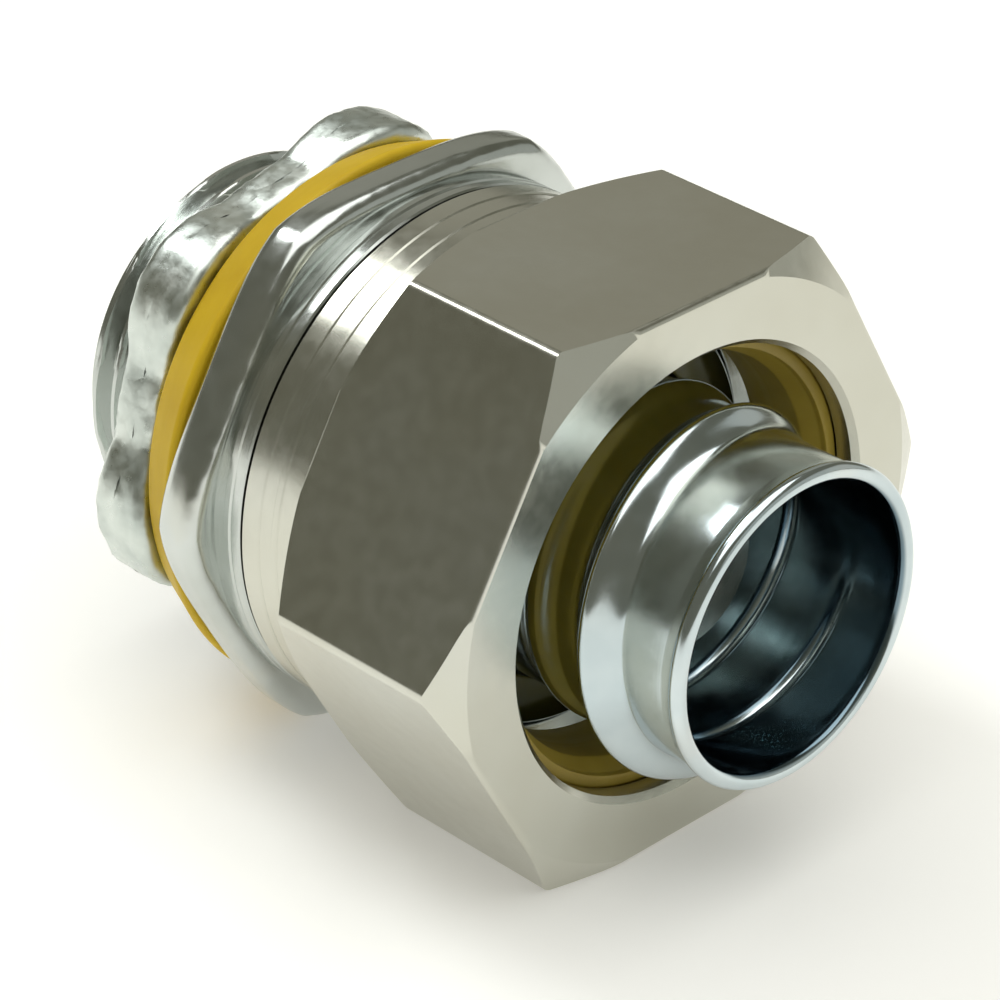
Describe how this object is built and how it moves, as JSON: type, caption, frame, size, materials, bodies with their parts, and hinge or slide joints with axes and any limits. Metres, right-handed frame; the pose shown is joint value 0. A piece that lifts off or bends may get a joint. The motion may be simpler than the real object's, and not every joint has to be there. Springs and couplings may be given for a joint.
{
  "type": "liquidtight conduit connector",
  "caption": "Straight flexible conduit connector: threaded hub with locknut and sealing washer, hexagonal gland nut, sealing ring and a steel ferrule.",
  "frame": {"origin": "on the axis, in the plane where the body's flange seats the sealing washer", "axes": "+X along the axis towards the ferrule and the conduit, +Z through a flat of the gland nut"},
  "size_m": [0.0515, 0.044, 0.038],
  "materials": {
    "zinc_body": "bright zinc plate, turned",
    "zinc_nut": "satin zinc plate",
    "ring_nylon": "moulded nylon, yellow",
    "ferrule_steel": "bright zinc plate, drawn sheet",
    "washer_nylon": "moulded nylon, golden yellow",
    "cast_zinc": "galvanised, as cast"
  },
  "bodies": {
    "body": {"body": "zinc_body"},
    "ring": {"sealing_ring": "ring_nylon"},
    "gland_nut": {"gland_nut": "zinc_nut"},
    "ferrule": {"ferrule": "ferrule_steel"},
    "washer": {"sealing_washer": "washer_nylon"},
    "locknut": {"locknut": "cast_zinc"}
  },
  "joints": [
    {"name": "ring_slide", "type": "slide", "parent": "body", "child": "ring", "axis": [1, 0, 0], "range_m": [-0.00015, 0.0128]},
    {"name": "gland_nut_turn", "type": "hinge", "parent": "ring", "child": "gland_nut", "pos_m": [0, 0, 0], "axis": [1, 0, 0], "range_deg": [-30, 2880]},
    {"name": "ferrule_slide", "type": "slide", "parent": "body", "child": "ferrule", "axis": [1, 0, 0], "range_m": [-0.0114, 0]},
    {"name": "washer_slide", "type": "slide", "parent": "body", "child": "washer", "axis": [-1, 0, 0], "range_m": [0, 0.011]},
    {"name": "locknut_turn", "type": "hinge", "parent": "washer", "child": "locknut", "pos_m": [0, 0, 0], "axis": [-1, 0, 0], "range_deg": [0, 2160]}
  ],
  "couplings": [
    {"joint": "ring_slide", "follows": "gland_nut_turn", "m_per_rad": 0.00025266},
    {"joint": "washer_slide", "follows": "locknut_turn", "m_per_rad": 0.00028871}
  ]
}
